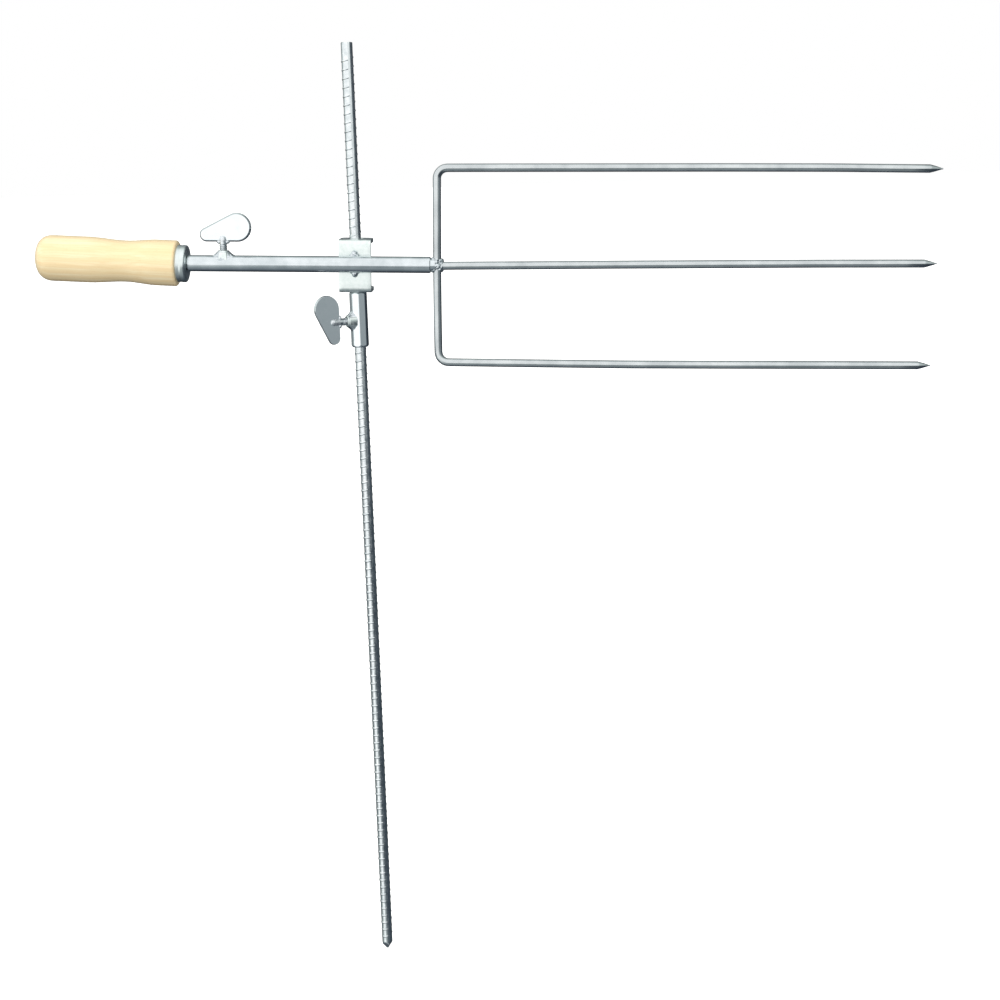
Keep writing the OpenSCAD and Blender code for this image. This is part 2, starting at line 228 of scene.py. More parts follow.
# soft iron pin hidden in the neck of the handle, unplated: dark and dull
blackPin = platedSteel("mildSteelPin", {
    "bright": "#8d9193", "dull": "#6a6e70", "patch": 1.5, "grit": 0.3, "rough": (0.4, 0.55),
    "relief": 0.3, "depth": 0.03})


def lacqueredBeech(look):
    # beech turned on a lathe and dipped in clear lacquer: pale cream, long soft streaks,
    # short brown flecks, and a broad wet-looking highlight
    material, tree, shader = newMaterial("beechClearLacquer")
    where = shade(tree, "TexCoord").outputs["Object"]
    # the pattern's own axes lie along the handle
    own = shade(tree, "Mapping", {
        "Vector": where, "Location": look["centre"], "Rotation": (0, look["tilt"], 0)},
        vector_type="TEXTURE")
    split = shade(tree, "SeparateXYZ", {0: own.outputs[0]})

    def stretched(lengthMm, widthMm, detail):
        spot = shade(tree, "Mapping", {
            "Vector": own.outputs[0],
            "Scale": (1 / (lengthMm * mm), 1 / (widthMm * mm), 1 / (widthMm * mm))})
        return grain(tree, spot.outputs[0], 1, detail, 0.6)

    # growth rings: distance from a pith outside the stick, bent a little by noise
    bend = calc(tree, "MULTIPLY", stretched(60, 14, 2), look["ringBend"] * mm)
    offset = shade(tree, "CombineXYZ", {1: split.outputs[1], 2: split.outputs[2]})
    pith = shade(tree, "VectorMath", {
        0: offset.outputs[0], 1: (0, look["pith"][0] * mm, look["pith"][1] * mm)}, operation="DISTANCE")
    reach = calc(tree, "ADD", pith.outputs["Value"], bend)
    rings = calc(tree, "PINGPONG", reach, look["ringStep"] * mm)
    # rays of beech are 1 to 3 mm long and under 0.2 mm wide, drawn 0.3 mm wide so that they show
    wood = fromHex(look["pale"])
    for share, colour in ((remap(tree, stretched(70, 22, 2), 0.35, 0.7), "warm"),
                          (remap(tree, rings, 0, look["ringStep"] * mm, 0, 0.75), "late"),
                          (remap(tree, stretched(38, 1.1, 3), 0.38, 0.7, 0, 0.7), "streak"),
                          (remap(tree, stretched(2.4, 0.3, 1), 0.66, 0.74, 0, 0.45), "fleck")):
        wood = blendColours(tree, share, wood, fromHex(look[colour]))
    wood = blendColours(tree, look["patternShare"], fromHex(look["pale"]), wood)
    relief = shade(tree, "Bump", {
        "Height": stretched(20, 0.5, 3), "Strength": 0.12, "Distance": 0.06 * mm})
    tree.links.new(wood, shader.inputs["Base Color"])
    tree.links.new(relief.outputs[0], shader.inputs["Normal"])
    shader.inputs["Roughness"].default_value = 0.42
    shader.inputs["Coat Weight"].default_value = 0.9
    shader.inputs["Coat Roughness"].default_value = 0.24
    shader.inputs["Coat IOR"].default_value = 1.5
    return material


# ---- mesh helpers ----

def closeFaces(mesh, sharpAngle=38):
    shape = bmesh.new()
    shape.from_mesh(mesh)
    bmesh.ops.remove_doubles(shape, verts=shape.verts, dist=1e-7)
    bmesh.ops.recalc_face_normals(shape, faces=shape.faces)
    shape.to_mesh(mesh)
    shape.free()
    mesh.shade_smooth()
    mesh.set_sharp_from_angle(angle=radians(sharpAngle))


def newPiece(name, verts, faces, place, material, ring=None, along=None, sharpAngle=38):
    mesh = bpy.data.meshes.new(name)
    mesh.from_pydata([place @ Vector(v) for v in verts], [], faces)
    if ring:
        mesh.attributes.new("ring", "FLOAT_VECTOR", "POINT").data.foreach_set(
            "vector", [c for v in ring for c in v])
        mesh.attributes.new("along", "FLOAT", "POINT").data.foreach_set("value", along)
    closeFaces(mesh, sharpAngle)
    mesh.materials.append(material)
    return addObject(name, mesh)


def settle(piece):
    # turns the live modifiers into a plain mesh
    graph = bpy.context.evaluated_depsgraph_get()
    mesh = bpy.data.meshes.new_from_object(piece.evaluated_get(graph))
    piece.modifiers.clear()
    old = piece.data
    piece.data = mesh
    bpy.data.meshes.remove(old)
    mesh.name = piece.name
    return piece


def deliver(piece, body, slot, *nodes):
    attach(piece, body)
    if nodes:
        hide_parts(*nodes)
    print("  ", piece.name, len(piece.data.polygons), "faces on", body)


def ringFaces(rings, loop):
    faces = []
    pairs = list(zip(rings, rings[1:]))
    if loop:
        pairs.append((rings[-1], rings[0]))
    for low, high in pairs:
        count = max(len(low), len(high))
        for k in range(count):
            n = (k + 1) % count
            if len(low) == 1:
                faces.append((low[0], high[n], high[k]))
            elif len(high) == 1:
                faces.append((low[k], low[n], high[0]))
            else:
                faces.append((low[k], low[n], high[n], high[k]))
    return faces


def polar(radius, angle, height):
    return radius * cos(angle), radius * sin(angle), height


def fullCircle(count):
    return [2 * pi * k / count for k in range(count)]


def lines(verts):
    # what the drawn-steel lines need: the place round the bar, and the place along it
    return [(x, y, 0) for x, y, _ in verts], [z for _, _, z in verts]


def spun(profile, segments=72, loop=False):
    # turns (radius, height) points round Z; a radius of 0 is a pole
    verts, rings = [], []
    for radius, height in profile:
        count = 1 if radius < 1e-6 else segments
        rings.append(list(range(len(verts), len(verts) + count)))
        verts += [polar(radius, a, height) for a in fullCircle(segments)[:count]]
    return verts, ringFaces(rings, loop), *lines(verts)


def stacked(levels, loop=False, caps=False):
    # joins rings that are given point by point, all with the same number of points
    verts, rings = [], []
    for level in levels:
        rings.append(list(range(len(verts), len(verts) + len(level))))
        verts += level
    faces = ringFaces(rings, loop)
    if caps:
        faces += [tuple(reversed(rings[0])), tuple(rings[-1])]
    return verts, faces


def softened(points, steps=4):
    # rounds the corners of an outline given as (x, y, radius)
    out = []
    for i, (x, y, radius) in enumerate(points):
        here = Vector((x, y))
        before = Vector(points[i - 1][:2]) - here
        after = Vector(points[(i + 1) % len(points)][:2]) - here
        if radius <= 0 or before.length < 1e-9 or after.length < 1e-9:
            out.append((x, y))
            continue
        half = before.angle(after) / 2
        back = min(radius / tan(half), 0.49 * before.length, 0.49 * after.length)
        start = here + before.normalized() * back
        end = here + after.normalized() * back
        for k in range(steps + 1):
            t = k / steps
            spot = start * (1 - t) ** 2 + here * 2 * t * (1 - t) + end * t ** 2
            out.append((spot.x, spot.y))
    return out


# lays a profile that was spun round Z along X
alongX = Matrix(((0, 0, 1, 0), (0, 1, 0, 0), (-1, 0, 0, 0), (0, 0, 0, 1)))


def roughen(piece, amount, size, seed=0):
    # small lumps along the normals, in millimetres
    for vertex in piece.data.vertices:
        spot = vertex.co / (size * mm) + Vector((seed, seed * 2, seed * 3))
        vertex.co += vertex.normal * (noise.noise(spot) * amount * mm)
    piece.data.update()


def cutWith(piece, cutter):
    modifier = piece.modifiers.new("cut", "BOOLEAN")
    modifier.object = cutter
    modifier.operation = "DIFFERENCE"
    modifier.solver = "EXACT"
    settle(piece)
    bpy.data.objects.remove(cutter)
    piece.data.shade_smooth()
    piece.data.set_sharp_from_angle(angle=radians(38))


def cutterRod(radius, low, high, place):
    verts, faces, _, _ = spun([(0, low), (radius, low), (radius, high), (0, high)], 48)
    return newPiece("cutter", verts, faces, place, brightZinc)


# ---- geometry node trees ----

def geometry(tree, kind, inputs=None, **settings):
    return addNode(tree, "GeometryNode" + kind, inputs, **settings).outputs[0]


def newTree(name, **sockets):
    tree = bpy.data.node_groups.new(name, "GeometryNodeTree")
    tree.interface.new_socket("Geometry", in_out="INPUT", socket_type="NodeSocketGeometry")
    for label, kind in sockets.items():
        tree.interface.new_socket(label, in_out="INPUT", socket_type="NodeSocket" + kind)
    tree.interface.new_socket("Geometry", in_out="OUTPUT", socket_type="NodeSocketGeometry")
    return tree, addNode(tree, "NodeGroupInput").outputs


def endTree(tree, shape, material):
    real = geometry(tree, "RealizeInstances", {"Geometry": shape})
    painted = geometry(tree, "SetMaterial", {"Geometry": real, "Material": material})
    addNode(tree, "NodeGroupOutput", {0: painted})


def growWith(piece, tree, values):
    modifier = piece.modifiers.new(tree.name, "NODES")
    modifier.node_group = tree
    for item in tree.interface.items_tree:
        if item.in_out == "INPUT" and item.name in values:
            modifier[item.identifier] = values[item.name]
    return settle(piece)


# rods: a rod of one thickness along a line of points, thinned by the points' own share
rodTree, rodInput = newTree("rodAlongLine", Radius="Float", Sides="Int", Finish="Material")
rodLine = geometry(rodTree, "MeshToCurve", {"Mesh": rodInput["Geometry"]})
rodShare = geometry(rodTree, "InputNamedAttribute", {"Name": "share"}, data_type="FLOAT")
rodThin = geometry(rodTree, "SetCurveRadius", {"Curve": rodLine, "Radius": rodShare})
rodCircle = geometry(rodTree, "CurvePrimitiveCircle", {
    "Resolution": rodInput["Sides"], "Radius": rodInput["Radius"]})
rodMillimetres = shade(rodTree, "VectorMath", {
    0: geometry(rodTree, "InputPosition"), "Scale": 1 / mm}, operation="SCALE")
rodProfile = geometry(rodTree, "StoreNamedAttribute", {
    "Geometry": rodCircle, "Name": "ring", "Value": rodMillimetres.outputs[0]},
    data_type="FLOAT_VECTOR", domain="POINT")
rodSwept = addNode(rodTree, "GeometryNodeCurveToMesh", {
    "Curve": rodThin, "Profile Curve": rodProfile, "Fill Caps": True})
if "Scale" in rodSwept.inputs:
    rodTree.links.new(rodShare, rodSwept.inputs["Scale"])
endTree(rodTree, rodSwept.outputs[0], rodInput["Finish"])


def makeRod(name, points, shares, radius, material, place, sides=40):
    mesh = bpy.data.meshes.new(name)
    spots = [place @ Vector(p) for p in points]
    mesh.from_pydata(spots, [(i, i + 1) for i in range(len(spots) - 1)], [])
    run = [0]
    for a, b in zip(spots, spots[1:]):
        run.append(run[-1] + (b - a).length / mm)
    mesh.attributes.new("share", "FLOAT", "POINT").data.foreach_set("value", shares)
    mesh.attributes.new("along", "FLOAT", "POINT").data.foreach_set("value", run)
    rod = addObject(name, mesh)
    growWith(rod, rodTree, {"Radius": radius * mm, "Sides": sides, "Finish": material})
    closeFaces(rod.data, 30)
    return rod


# thread: a diamond swept along a spiral, on a plain core
threadTree, threadInput = newTree(
    "cutThread", Pitch="Float", Length="Float", Radius="Float", Crest="Float", Finish="Material")
threadTurns = calc(threadTree, "DIVIDE", threadInput["Length"], threadInput["Pitch"])
threadSpiral = geometry(threadTree, "CurveSpiral", {
    "Resolution": 26, "Rotations": threadTurns, "Start Radius": threadInput["Radius"],
    "End Radius": threadInput["Radius"], "Height": threadInput["Length"]})
threadUp = geometry(threadTree, "SetCurveNormal", {"Curve": threadSpiral}, mode="Z_UP")
threadProfile = geometry(threadTree, "CurvePrimitiveCircle", {
    "Resolution": 4, "Radius": threadInput["Crest"]})
threadSwept = geometry(threadTree, "CurveToMesh", {
    "Curve": threadUp, "Profile Curve": threadProfile, "Fill Caps": True})
threadBoth = addNode(threadTree, "GeometryNodeJoinGeometry")
threadTree.links.new(threadInput["Geometry"], threadBoth.inputs[0])
threadTree.links.new(threadSwept, threadBoth.inputs[0])
endTree(threadTree, threadBoth.outputs[0], threadInput["Finish"])

# ribs: one rib on each side of the bar, again and again, the second side half a step higher
ribTree, ribInput = newTree(
    "ribsOnBar", Rib="Object", Count="Int", First="Float", Pitch="Float", Finish="Material")
ribShape = addNode(ribTree, "GeometryNodeObjectInfo", {"Object": ribInput["Rib"]})
ribStep = shade(ribTree, "CombineXYZ", {2: ribInput["Pitch"]})
ribHalfStep = calc(ribTree, "MULTIPLY", ribInput["Pitch"], 0.5)
ribBoth = addNode(ribTree, "GeometryNodeJoinGeometry")
for side in (0, 1):
    ribFrom = calc(ribTree, "MULTIPLY_ADD", ribHalfStep, side, ribInput["First"])
    ribStart = shade(ribTree, "CombineXYZ", {2: ribFrom})
    ribSpots = geometry(ribTree, "MeshLine", {
        "Count": ribInput["Count"], "Start Location": ribStart.outputs[0], "Offset": ribStep.outputs[0]})
    ribPlaced = geometry(ribTree, "InstanceOnPoints", {
        "Points": ribSpots, "Instance": ribShape.outputs["Geometry"],
        "Rotation": (0, 0, pi * side)})
    ribTree.links.new(ribPlaced, ribBoth.inputs[0])
ribTree.links.new(ribInput["Geometry"], ribBoth.inputs[0])
endTree(ribTree, ribBoth.outputs[0], ribInput["Finish"])
print("materials and node trees ready")


# ---- stake ----

stakeBar = {
    "length": 762, "core": 4.45, "seamHigh": 0.28, "seamWide": 15, "seamTurn": 126,
    "pointLong": 7.5, "pointFlat": 0.45, "pointFacets": 4, "segments": 60,
    "ribPitch": 6.63, "ribHigh": 0.4, "ribFoot": 1.25, "ribSpan": 76, "ribSlant": 1.0, "ribFirst": 12,
}


def stakeRadius(angle, height):
    bar = stakeBar
    radius = bar["core"]
    for turn in (0, 180):
        away = degrees(angle) - bar["seamTurn"] - turn
        away = (away + 180) % 360 - 180
        radius += bar["seamHigh"] * exp(-(away / bar["seamWide"] * 2) ** 2)
    radius += 0.05 * noise.noise(Vector((cos(angle) * 1.5, sin(angle) * 1.5, height / 14)))
    if height < 2.2 * bar["pointLong"]:
        # each facet of the ground point is a plane that leans in towards the tip
        plane = bar["pointFlat"] + height * bar["core"] / bar["pointLong"]
        step = 2 * pi / bar["pointFacets"]
        off = (angle + radians(20) + step / 2) % step - step / 2
        radius = min(radius, plane / cos(off))
    return radius


bar = stakeBar
heights = [0.7 * i for i in range(20)]
heights += [14 + (bar["length"] - 15) * i / 90 for i in range(91)] + [bar["length"] - 0.5]
levels = []
for height in heights:
    levels.append([polar(stakeRadius(a, height), a, height) for a in fullCircle(bar["segments"])])
levels.append([(x * 0.9, y * 0.9, bar["length"]) for x, y, _ in levels[-1]])
verts, faces = stacked(levels, caps=True)
stake = newPiece("ribbedStake", verts, faces, stakePlace, ribbedZinc, *lines(verts))

# one rib: a crescent that rises from the bar, widest in the middle of its side
levels = []
for k in range(11):
    share = k / 5 - 1
    angle = radians(bar["seamTurn"] + 90 + share * bar["ribSpan"])
    high = bar["ribHigh"] * (1 - share ** 4) ** 0.7 - 0.12 * share ** 8
    level = []
    for across, rise in ((-1, None), (-0.55, 0.55), (0, 1), (0.55, 0.55), (1, None)):
        radius = bar["core"] - 0.25 if rise is None else bar["core"] + high * rise
        foot = bar["ribFoot"] * (1 - 0.35 * share ** 2)
        level.append(polar(radius, angle, across * foot + share * bar["ribSlant"]))
    levels.append(level)
verts, faces = stacked(levels, caps=True)
rib = newPiece("rib", verts, faces, stakePlace, ribbedZinc, *lines(verts), 60)
ribCount = int((bar["length"] - bar["ribFirst"] - bar["ribPitch"]) / bar["ribPitch"])
growWith(stake, ribTree, {"Rib": rib, "Count": ribCount, "First": bar["ribFirst"] * mm,
                          "Pitch": bar["ribPitch"] * mm, "Finish": ribbedZinc})
bpy.data.objects.remove(rib)
deliver(stake, "stake", "ribbed_bar", "stake")
print("stake done")


# ---- collar with its welded nut ----

collar = {"flat": 6.6, "edge": 7.02, "length": 44, "bore": 5.4, "endRadius": 6.15,
          "endRise": 1.9, "endSteps": 7, "corner": 7.2, "clear": 9, "nutFace": 11.0, "hole": 3.475}


def octagonRadius(angle):
    step = pi / 4
    off = (angle + step / 2) % step - step / 2
    return min(collar["flat"] / cos(off), collar["edge"])


cornerTurns = (-22.5, -21, -19.6, -17, -10, 0, 10, 17, 19.6, 21)
angles = [radians(45 * k + turn) for k in range(8) for turn in cornerTurns]
length, bore, endRadius = (collar[key] for key in ("length", "bore", "endRadius"))
# the largest radius at each height: the ends are turned down, the middle is left alone
shape = []
for i in range(collar["endSteps"] + 1):
    t = i / collar["endSteps"]
    spread = collar["corner"] - endRadius
    shape.append((collar["endRise"] * t, endRadius + spread * t ** 0.8))
shape = [(0, endRadius - 0.35)] + [(z + 0.12, r) for z, r in shape]
shape += [(length / 2, collar["clear"])] + [(length - z, r) for z, r in reversed(shape)]
levels = [[polar(min(octagonRadius(a), limit), a, height) for a in angles] for height, limit in shape]
for height, radius in ((length, bore + 0.25), (length - 0.3, bore),
                       (0.3, bore), (0, bore + 0.25)):
    levels.append([polar(radius, a, height) for a in angles])
verts, faces = stacked(levels, loop=True)
flatAngle = 14  # the eight flats meet at more than this, so their edges stay crisp
sleeve = newPiece("eightSidedCollar", verts, faces, collarPlace, brightZinc, *lines(verts), flatAngle)
cutWith(sleeve, cutterRod(collar["hole"], -8, 0, collarScrewPlace))
sleeve.data.set_sharp_from_angle(angle=radians(flatAngle))
deliver(sleeve, "collar", "zinc_plate", "collar_sleeve")


def hexRadius(angle, apothem):
    return apothem / cos(angle % (pi / 3) - pi / 6)


def collarSurface(x, y):
    return collar["flat"] - max(0, abs(y) - collar["flat"] * tan(pi / 8)) - collar["nutFace"]


tube = {"outer": 6.35, "inner": 4.85, "left": -129.5, "right": 59.8, "nutFace": 10.15,
        "hole": 3.475, "edge": 0.5, "lip": 0.2}


def tubeSurface(x, y):
    return sqrt(max(0.04, tube["outer"] ** 2 - y * y)) - tube["nutFace"]


nut = {"apothem": 5.55, "bore": 3.23, "coneTop": 4.0, "coneSlope": 0.65, "sunk": 0.15, "segments": 72}


def below(surface, radius, angle, sunk):
    x, y, _ = polar(radius, angle, 0)
    return x, y, surface(x, y) - sunk


def makeNut(name, place, surface):
    circle = fullCircle(nut["segments"])
    rows = [[below(surface, hexRadius(a, nut["apothem"]), a, nut["sunk"]) for a in circle]]
    for height in (-1.6, -1.2, -0.9, -0.6, -0.3, -0.12, 0):
        cone = nut["coneTop"] - height * nut["coneSlope"] - (0.12 if height == 0 else 0)
        rows.append([polar(min(hexRadius(a, nut["apothem"]), cone), a, height) for a in circle])
    for radius, height in ((nut["bore"] + 0.45, 0), (nut["bore"], -0.5)):
        rows.append([polar(radius, a, height) for a in circle])
    rows.append([below(surface, nut["bore"], a, nut["sunk"]) for a in circle])
    verts, faces = stacked(rows, loop=True)
    return newPiece(name, verts, faces, place, flatZinc, sharpAngle=24)


nutBead = {"drop": 0.7, "ripples": 17, "ripple": 0.14, "bulge": 0.2, "inner": 4.75, "under": 0.25,
           "segments": 120, "steps": 12}


def makeNutWeld(name, place, surface, reachX, reachY, seed):
    rows = []
    bead = nutBead
    circle = fullCircle(bead["segments"])

    def innerRadius(a):
        return min(hexRadius(a, nut["apothem"]) - bead["under"], bead["inner"])

    for i in range(bead["steps"]):
        t = i / (bead["steps"] - 1)
        row = []
        for a in circle:
            lump = noise.noise(Vector((cos(a) * 1.3, sin(a) * 1.3, seed)))
            inner = innerRadius(a)
            outer = 1 / sqrt((cos(a) / reachX) ** 2 + (sin(a) / reachY) ** 2)
            outer = max(outer * (1 + 0.07 * lump), inner + 0.5)
            x, y, low = below(surface, inner + (outer - inner) * t, a, 0.12)
            top = -bead["drop"] + 0.35 * lump
            wave = sin(a * bead["ripples"] + 2.2 * t + 1.4 * lump)
            height = low + (top - low) * (1 - t) ** 1.9
            height += (bead["bulge"] + bead["ripple"] * wave) * sin(pi * t) ** 0.8
            row.append((x, y, height))
        rows.append(row)
    rows.append([below(surface, innerRadius(a), a, 0.5) for a in circle])
    verts, faces = stacked(rows, loop=True)
    return newPiece(name, verts, faces, place, platedWeld, sharpAngle=70)


deliver(makeNut("collarNut", collarScrewPlace, collarSurface), "collar", "zinc_plate", "collar_nut")
deliver(makeNutWeld("collarNutWeld", collarScrewPlace, collarSurface, 8.8, 5.6, 3.1),
        "collar", "weld", "collar_nut_weld")
print("collar done")


# ---- thumb screws ----

screw = {"radius": 3.175, "core": 2.62, "pitch": 1.27, "crest": 0.56,
         "largeRadius": 11.2, "smallRadius": 5.4, "largeX": 11, "smallX": 13,
         # the wing's rim from back to front: how far in, and how far forward
         "rim": ((1.95, -1.2), (1.75, -1.2), (1.5, -1.17), (1.3, -1.05), (1.15, -0.85), (0.2, 0.72),
                 (0.06, 0.9), (0, 1.02), (0.06, 1.14), (0.25, 1.2), (0.45, 1.2))}


def makeScrew(name, place, tip, wingBase):
    # threaded shank from its tip to just below the wing, then the plain end that grips the wing
    plain = wingBase - 2.0
    profile = [(0, tip), (1.9, tip), (screw["core"], tip + 0.7), (screw["core"], plain - 0.2),
               (2.95, plain + 0.3), (2.95, wingBase + 0.3), (2.6, wingBase + 0.6), (0, wingBase + 0.6)]
    verts, faces, ring, along = spun(softened([(r, z, 0) for r, z in profile]), 40)
    shank = newPiece(name, verts, faces, Matrix.Scale(mm, 4), cutThread, ring, along, 30)
    # the tree's spiral starts at the origin, so the core is moved down to it and back
    shift = (tip + 0.6) * mm
    shank.data.transform(Matrix.Translation((0, 0, -shift)))
    growWith(shank, threadTree, {
        "Pitch": screw["pitch"] * mm, "Length": (plain - tip - 0.9) * mm, "Crest": screw["crest"] * mm,
        "Radius": (screw["radius"] - screw["crest"]) * mm, "Finish": cutThread})
    shank.data.transform(place @ Matrix.Scale(1 / mm, 4) @ Matrix.Translation((0, 0, shift)))
    return shank


def makeBoss(name, place, wingBase, bossEnd):
    # the blank end of the screw, laid in the wing's slot and drowned in weld
    profile = softened([(0, wingBase - 0.2, 0), (2.9, wingBase - 0.2, 0.3), (2.95, bossEnd - 2.6, 1.2),
                        (2.35, bossEnd - 0.6, 0.9), (1.2, bossEnd, 0.5), (0, bossEnd, 0)], 5)
    verts, faces, ring, along = spun(profile, 40)
    return newPiece(name, verts, faces, place, dullWeld, ring, along, 60)


def wingOutline(inset):
    large, small = screw["largeRadius"], screw["smallRadius"]
    slope = 2 * atan((large - small) / (screw["largeX"] + screw["smallX"]))

    def arc(x, y, radius, start, turn, steps):
        turns = [start + turn * k / steps for k in range(steps + 1)]
        return [(x + radius * cos(a), y + radius * sin(a)) for a in turns]

    def edge(start, end):
        # a few points on each straight edge keep the rim's faces short
        return [tuple(Vector(start).lerp(Vector(end), k / 8)) for k in range(1, 8)]

    wide = arc(screw["largeX"], large, large - inset, -pi / 2, pi + slope, 36)
    narrow = arc(-screw["smallX"], small, small - inset, pi / 2 + slope, pi - slope, 22)
    return wide + edge(wide[-1], narrow[0]) + narrow + edge(narrow[-1], wide[0])


def makeWing(name, place, wingBase, size, rimWide):
    # a pressed plate: its front edge is rolled over by the die, its back stays almost flat
    levels = [[(x * size[0], y, z * size[1] + wingBase) for x, z in wingOutline(inset * rimWide)]
              for inset, y in screw["rim"]]
    verts, faces = stacked(levels, caps=True)
    return newPiece(name, verts, faces, place, brightZinc, sharpAngle=70)


def addBall(verts, faces, shapeVertex):
    # a ball whose points are put in place one by one
    ball = bmesh.new()
    bmesh.ops.create_icosphere(ball, subdivisions=3, radius=1)
    base = len(verts)
    verts += [shapeVertex(vertex.co) for vertex in ball.verts]
    faces += [tuple(v.index + base for v in face.verts) for face in ball.faces]
    ball.free()


wingBead = {"aside": 3.0, "low": 0.15, "wide": 2.1, "deep": 1.75, "tall": 1.5, "lump": 0.1}


def makeWingWeld(name, place, wingBase, seed):
    # a bead at each side of the shank, where the wing's lower edge meets it
    bead = wingBead
    verts, faces = [], []
    for side in (-1, 1):
        def shapeVertex(spot):
            lump = 1 + bead["lump"] * noise.noise(spot * 2 + Vector((seed, side, 0)))
            return (side * bead["aside"] + spot.x * bead["wide"] * lump, spot.y * bead["deep"] * lump,
                    wingBase - bead["low"] + spot.z * bead["tall"] * lump)

        addBall(verts, faces, shapeVertex)
    return newPiece(name, verts, faces, place, dullWeld, sharpAngle=80)


for name, place, body, tip, wingBase, bossEnd, size, rimWide, node in (
        ("collarScrew", collarScrewPlace, "collar_thumb_screw", -5.7, 5.9, 13.9, (0.97, 0.93), 0.3,
         "collar_screw"),
        ("tubeScrew", tubeScrewPlace, "tube_thumb_screw", -5.08, 6.52, 11.2, (1, 1), 0.9,
         "tube_screw")):
    deliver(makeScrew(name + "Shank", place, tip, wingBase), body, "thread_steel", node)
    deliver(makeWing(name + "Wing", place, wingBase, size, rimWide), body, "zinc_plate", node + "_wing")
    deliver(makeBoss(name + "Boss", place, wingBase, bossEnd), body, "thread_steel")
    deliver(makeWingWeld(name + "WingWeld", place, wingBase, len(node)), body, "weld")
print("thumb screws done")


# ---- bracket ----

bracket = {"width": 25.4, "height": 41.3, "thick": 3.2, "bend": 3.7, "front": -13.65, "back": 12.7,
           "edge": 0.45, "hole": 5.95, "rise": 2, "tubeY": -20, "corner": 5}

bracketPlace = tubePlace @ Matrix.Translation((0, -bracket["tubeY"], -bracket["rise"]))


def makeBracket():
    half = bracket["height"] / 2
    bend, thick, front, back, corner = (bracket[key] for key in ("bend", "thick", "front", "back", "corner"))
    outer, inner = [], []
    # the strip's section from the upper flange round to the lower, outer and inner points in pairs
    for y in (back, 12.5, 11.9, 11, 9.8, 8.6, 7.7, 4, 0, -4, -7):
        outer.append((y, half))
        inner.append((y, half - thick))
    for k in range(9):
        a = pi / 2 * k / 8
        for line, radius in ((outer, bend), (inner, bend - thick)):
            line.append((front + bend - radius * sin(a), half - bend + radius * cos(a)))
    for line, y in ((outer, front), (inner, front + thick)):
        lower = [(y, -z) for y, z in reversed(line)]
        line += [(y, share * (half - bend)) for share in (0.75, 0.5, 0.25, 0, -0.25, -0.5, -0.75)]
        line += lower
    columns = 9
    verts, faces = [], []
    count = len(outer)
    for line in (outer, inner):
        for i in range(count):
            for c in range(columns):
                # the flanges' far corners are rounded
                over = max(0, line[i][0] - back + corner)
                cut = corner - sqrt(corner ** 2 - over ** 2)
                wide = bracket["width"] - 2 * cut
                verts.append((wide * (c / (columns - 1) - 0.5), line[i][0], line[i][1]))

    def at(line, i, c):
        return (line * count + i) * columns + c

    for i in range(count - 1):
        for c in range(columns - 1):
            faces.append((at(0, i, c), at(0, i, c + 1), at(0, i + 1, c + 1), at(0, i + 1, c)))
            faces.append((at(1, i, c), at(1, i + 1, c), at(1, i + 1, c + 1), at(1, i, c + 1)))
        for c in (0, columns - 1):
            faces.append((at(0, i, c), at(0, i + 1, c), at(1, i + 1, c), at(1, i, c)))
    for i in (0, count - 1):
        for c in range(columns - 1):
            faces.append((at(0, i, c), at(0, i, c + 1), at(1, i, c + 1), at(1, i, c)))
    piece = newPiece("bentBracket", verts, faces, bracketPlace, flatZinc, sharpAngle=60)
    rounding = piece.modifiers.new("edges", "BEVEL")
    rounding.width = bracket["edge"] * mm
    rounding.segments = 3
    rounding.limit_method = "ANGLE"
    rounding.angle_limit = radians(60)
    settle(piece)
    # the holes have a small punched lead-in on their outer side
    for side in (1, -1):
        radius = bracket["hole"]
        profile = [(0, half - thick - 2), (radius, half - thick - 2), (radius, half - 0.4),
                   (radius + 0.5, half + 0.1), (radius + 0.5, half + 2), (0, half + 2)]
        verts, faces, _, _ = spun(profile, 56)
        turned = [(x, y, side * z) for x, y, z in verts]
        cutWith(piece, newPiece("cutter", turned, faces, bracketPlace, flatZinc))
    return piece


deliver(makeBracket(), "bracket", "zinc_plate", "bracket")


# ---- bearing tube ----

def makeTube():
    outer, inner, left, right, edge, lip = (
        tube[key] for key in ("outer", "inner", "left", "right", "edge", "lip"))
    outline = [(outer - edge, left), (outer, left + edge)]
    outline += [(outer, left + (right - left) * k / 24) for k in range(1, 24)]
    outline += [(outer, right - edge), (outer - edge, right), (inner + lip, right), (inner, right - lip),
                (inner, left + lip), (inner + lip, left)]
    verts, faces, ring, along = spun(outline, 96, loop=True)
    piece = newPiece("bearingTube", verts, faces, tubePlace @ alongX, drawnZinc, ring, along)
    cutWith(piece, cutterRod(tube["hole"], -9, 0, tubeScrewPlace))
    return piece


deliver(makeTube(), "bracket", "zinc_plate", "bearing_tube")
deliver(makeNut("tubeNut", tubeScrewPlace, tubeSurface), "bracket", "zinc_plate", "tube_nut")
deliver(makeNutWeld("tubeNutWeld", tubeScrewPlace, tubeSurface, 9.4, 6.0, 7.7),
        "bracket", "weld", "tube_nut_weld")


